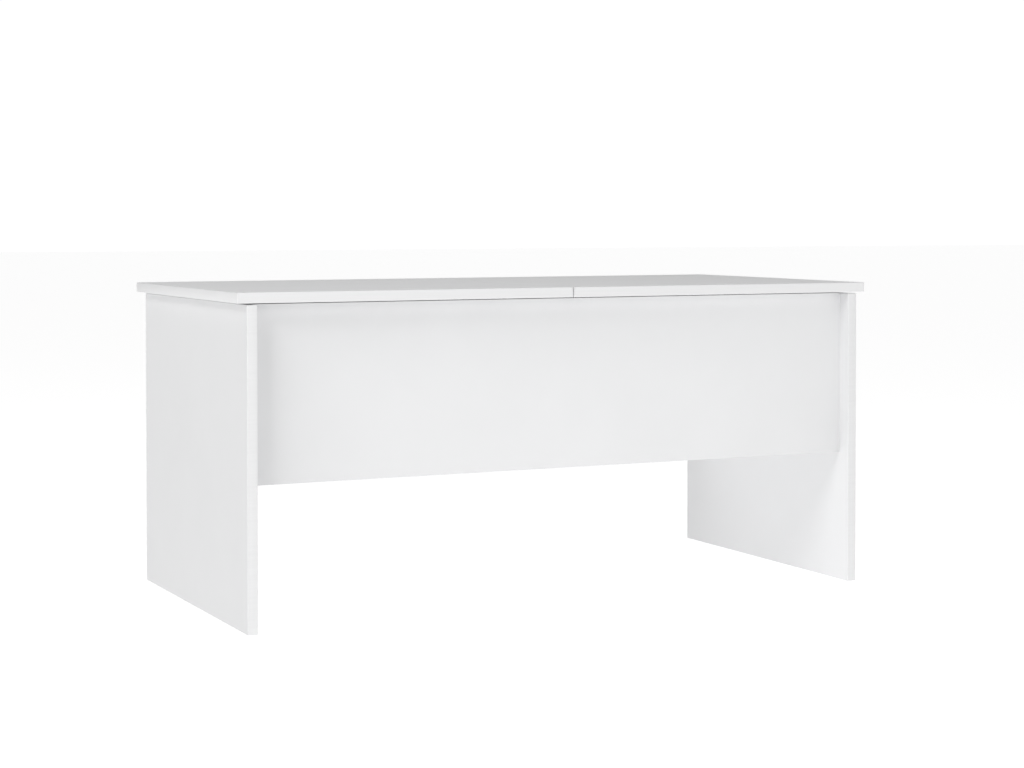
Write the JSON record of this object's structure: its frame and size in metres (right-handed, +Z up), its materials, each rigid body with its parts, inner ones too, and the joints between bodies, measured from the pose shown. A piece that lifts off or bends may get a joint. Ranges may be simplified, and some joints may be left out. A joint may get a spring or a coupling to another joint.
{
  "type": "lift top coffee table",
  "caption": "White board coffee table whose top is split into two halves that each lift and swing forward on spring-assisted parallel arms.",
  "frame": {"origin": "middle of the table on the floor, at the bottom of the overall box", "axes": "+X along the table's length, +Y towards its back, +Z up; the tops lift up and forward, towards -Y"},
  "size_m": [1.02, 0.49, 0.465],
  "materials": {
    "white_board": "white melamine faced particle board, satin",
    "beech": "fluted beech",
    "pressed_steel": "galvanised grey, satin",
    "rivet_steel": "bright, turned",
    "spring_steel": "drawn wire, lightly oiled",
    "zinc_plated": "bright zinc plate",
    "clear_rubber": "soft clear pads, matt",
    "zinc_casting": "die cast, matt"
  },
  "bodies": {
    "carcass": {"side_panel_left": "white_board", "side_panel_right": "white_board", "front_panel": "white_board", "back_panel": "white_board", "bottom_panel": "white_board", "centre_divider": "white_board", "dowels": "beech", "cam_bolts": "zinc_plated", "cam_discs": "zinc_casting", "divider_screws": "zinc_plated", "rest_pads": "clear_rubber", "plate_screws": "zinc_plated", "left_outer_base_plate": "pressed_steel", "left_outer_base_rivets": "rivet_steel", "left_outer_stop_pin": "rivet_steel", "left_inner_base_plate": "pressed_steel", "left_inner_base_rivets": "rivet_steel", "left_inner_stop_pin": "rivet_steel", "right_outer_base_plate": "pressed_steel", "right_outer_base_rivets": "rivet_steel", "right_outer_stop_pin": "rivet_steel", "right_inner_base_plate": "pressed_steel", "right_inner_base_rivets": "rivet_steel", "right_inner_stop_pin": "rivet_steel"},
    "left_top": {"top_left": "white_board", "bracket_screws_left": "zinc_plated", "left_outer_bracket": "pressed_steel", "left_outer_bracket_rivets": "rivet_steel", "left_inner_bracket": "pressed_steel", "left_inner_bracket_rivets": "rivet_steel"},
    "right_top": {"top_right": "white_board", "bracket_screws_right": "zinc_plated", "right_outer_bracket": "pressed_steel", "right_outer_bracket_rivets": "rivet_steel", "right_inner_bracket": "pressed_steel", "right_inner_bracket_rivets": "rivet_steel"},
    "left_outer_rear": {"left_outer_rear_arm": "pressed_steel"},
    "left_outer_front": {"left_outer_front_arm": "pressed_steel", "left_outer_spring_stud": "rivet_steel"},
    "left_outer_coil": {"left_outer_spring": "spring_steel"},
    "left_outer_eye": {"left_outer_spring_hook": "spring_steel"},
    "left_inner_rear": {"left_inner_rear_arm": "pressed_steel"},
    "left_inner_front": {"left_inner_front_arm": "pressed_steel", "left_inner_spring_stud": "rivet_steel"},
    "left_inner_coil": {"left_inner_spring": "spring_steel"},
    "left_inner_eye": {"left_inner_spring_hook": "spring_steel"},
    "right_outer_rear": {"right_outer_rear_arm": "pressed_steel"},
    "right_outer_front": {"right_outer_front_arm": "pressed_steel", "right_outer_spring_stud": "rivet_steel"},
    "right_outer_coil": {"right_outer_spring": "spring_steel"},
    "right_outer_eye": {"right_outer_spring_hook": "spring_steel"},
    "right_inner_rear": {"right_inner_rear_arm": "pressed_steel"},
    "right_inner_front": {"right_inner_front_arm": "pressed_steel", "right_inner_spring_stud": "rivet_steel"},
    "right_inner_coil": {"right_inner_spring": "spring_steel"},
    "right_inner_eye": {"right_inner_spring_hook": "spring_steel"}
  },
  "joints": [
    {"name": "left_lift", "type": "hinge", "parent": "carcass", "child": "left_outer_rear", "pos_m": [-0.476, -0.04787, 0.34675], "axis": [1, 0, 0], "range_deg": [0, 100.51]},
    {"name": "left_outer_front_pivot", "type": "hinge", "parent": "carcass", "child": "left_outer_front", "pos_m": [-0.476, -0.12587, 0.34675], "axis": [1, 0, 0], "range_deg": [0, 100.51]},
    {"name": "left_outer_spring_swing", "type": "hinge", "parent": "left_outer_front", "child": "left_outer_coil", "pos_m": [-0.462, -0.03969, 0.37895], "axis": [1, 0, 0], "range_deg": [-36.02, 0], "deforming": ["left_outer_spring"]},
    {"name": "left_outer_spring_stretch", "type": "slide", "parent": "left_outer_coil", "child": "left_outer_eye", "axis": [0, 0.9785, 0.2064], "range_m": [-0.08788, 0], "deforming": ["left_outer_spring_hook"]},
    {"name": "left_top_pivot", "type": "hinge", "parent": "left_outer_rear", "child": "left_top", "pos_m": [-0.476, 0.191, 0.436], "axis": [1, 0, 0], "range_deg": [-100.51, 0]},
    {"name": "left_inner_rear_pivot", "type": "hinge", "parent": "carcass", "child": "left_inner_rear", "pos_m": [-0.0125, -0.04787, 0.34675], "axis": [1, 0, 0], "range_deg": [0, 100.51]},
    {"name": "left_inner_front_pivot", "type": "hinge", "parent": "carcass", "child": "left_inner_front", "pos_m": [-0.0125, -0.12587, 0.34675], "axis": [1, 0, 0], "range_deg": [0, 100.51]},
    {"name": "left_inner_spring_swing", "type": "hinge", "parent": "left_inner_front", "child": "left_inner_coil", "pos_m": [-0.0265, -0.03969, 0.37895], "axis": [1, 0, 0], "range_deg": [-36.02, 0], "deforming": ["left_inner_spring"]},
    {"name": "left_inner_spring_stretch", "type": "slide", "parent": "left_inner_coil", "child": "left_inner_eye", "axis": [0, 0.9785, 0.2064], "range_m": [-0.08788, 0], "deforming": ["left_inner_spring_hook"]},
    {"name": "right_lift", "type": "hinge", "parent": "carcass", "child": "right_outer_rear", "pos_m": [0.476, -0.04787, 0.34675], "axis": [1, 0, 0], "range_deg": [0, 100.51]},
    {"name": "right_outer_front_pivot", "type": "hinge", "parent": "carcass", "child": "right_outer_front", "pos_m": [0.476, -0.12587, 0.34675], "axis": [1, 0, 0], "range_deg": [0, 100.51]},
    {"name": "right_outer_spring_swing", "type": "hinge", "parent": "right_outer_front", "child": "right_outer_coil", "pos_m": [0.462, -0.03969, 0.37895], "axis": [1, 0, 0], "range_deg": [-36.02, 0], "deforming": ["right_outer_spring"]},
    {"name": "right_outer_spring_stretch", "type": "slide", "parent": "right_outer_coil", "child": "right_outer_eye", "axis": [0, 0.9785, 0.2064], "range_m": [-0.08788, 0], "deforming": ["right_outer_spring_hook"]},
    {"name": "right_top_pivot", "type": "hinge", "parent": "right_outer_rear", "child": "right_top", "pos_m": [0.476, 0.191, 0.436], "axis": [1, 0, 0], "range_deg": [-100.51, 0]},
    {"name": "right_inner_rear_pivot", "type": "hinge", "parent": "carcass", "child": "right_inner_rear", "pos_m": [0.0125, -0.04787, 0.34675], "axis": [1, 0, 0], "range_deg": [0, 100.51]},
    {"name": "right_inner_front_pivot", "type": "hinge", "parent": "carcass", "child": "right_inner_front", "pos_m": [0.0125, -0.12587, 0.34675], "axis": [1, 0, 0], "range_deg": [0, 100.51]},
    {"name": "right_inner_spring_swing", "type": "hinge", "parent": "right_inner_front", "child": "right_inner_coil", "pos_m": [0.0265, -0.03969, 0.37895], "axis": [1, 0, 0], "range_deg": [-36.02, 0], "deforming": ["right_inner_spring"]},
    {"name": "right_inner_spring_stretch", "type": "slide", "parent": "right_inner_coil", "child": "right_inner_eye", "axis": [0, 0.9785, 0.2064], "range_m": [-0.08788, 0], "deforming": ["right_inner_spring_hook"]}
  ],
  "couplings": [
    {"joint": "left_outer_front_pivot", "follows": "left_lift", "ratio": 1},
    {"joint": "left_outer_spring_swing", "follows": "left_lift", "ratio": -0.3583},
    {"joint": "left_outer_spring_stretch", "follows": "left_lift", "m_per_rad": -0.050091},
    {"joint": "left_top_pivot", "follows": "left_lift", "ratio": -1},
    {"joint": "left_inner_rear_pivot", "follows": "left_lift", "ratio": 1},
    {"joint": "left_inner_front_pivot", "follows": "left_lift", "ratio": 1},
    {"joint": "left_inner_spring_swing", "follows": "left_lift", "ratio": -0.3583},
    {"joint": "left_inner_spring_stretch", "follows": "left_lift", "m_per_rad": -0.050091},
    {"joint": "right_outer_front_pivot", "follows": "right_lift", "ratio": 1},
    {"joint": "right_outer_spring_swing", "follows": "right_lift", "ratio": -0.3583},
    {"joint": "right_outer_spring_stretch", "follows": "right_lift", "m_per_rad": -0.050091},
    {"joint": "right_top_pivot", "follows": "right_lift", "ratio": -1},
    {"joint": "right_inner_rear_pivot", "follows": "right_lift", "ratio": 1},
    {"joint": "right_inner_front_pivot", "follows": "right_lift", "ratio": 1},
    {"joint": "right_inner_spring_swing", "follows": "right_lift", "ratio": -0.3583},
    {"joint": "right_inner_spring_stretch", "follows": "right_lift", "m_per_rad": -0.050091}
  ]
}
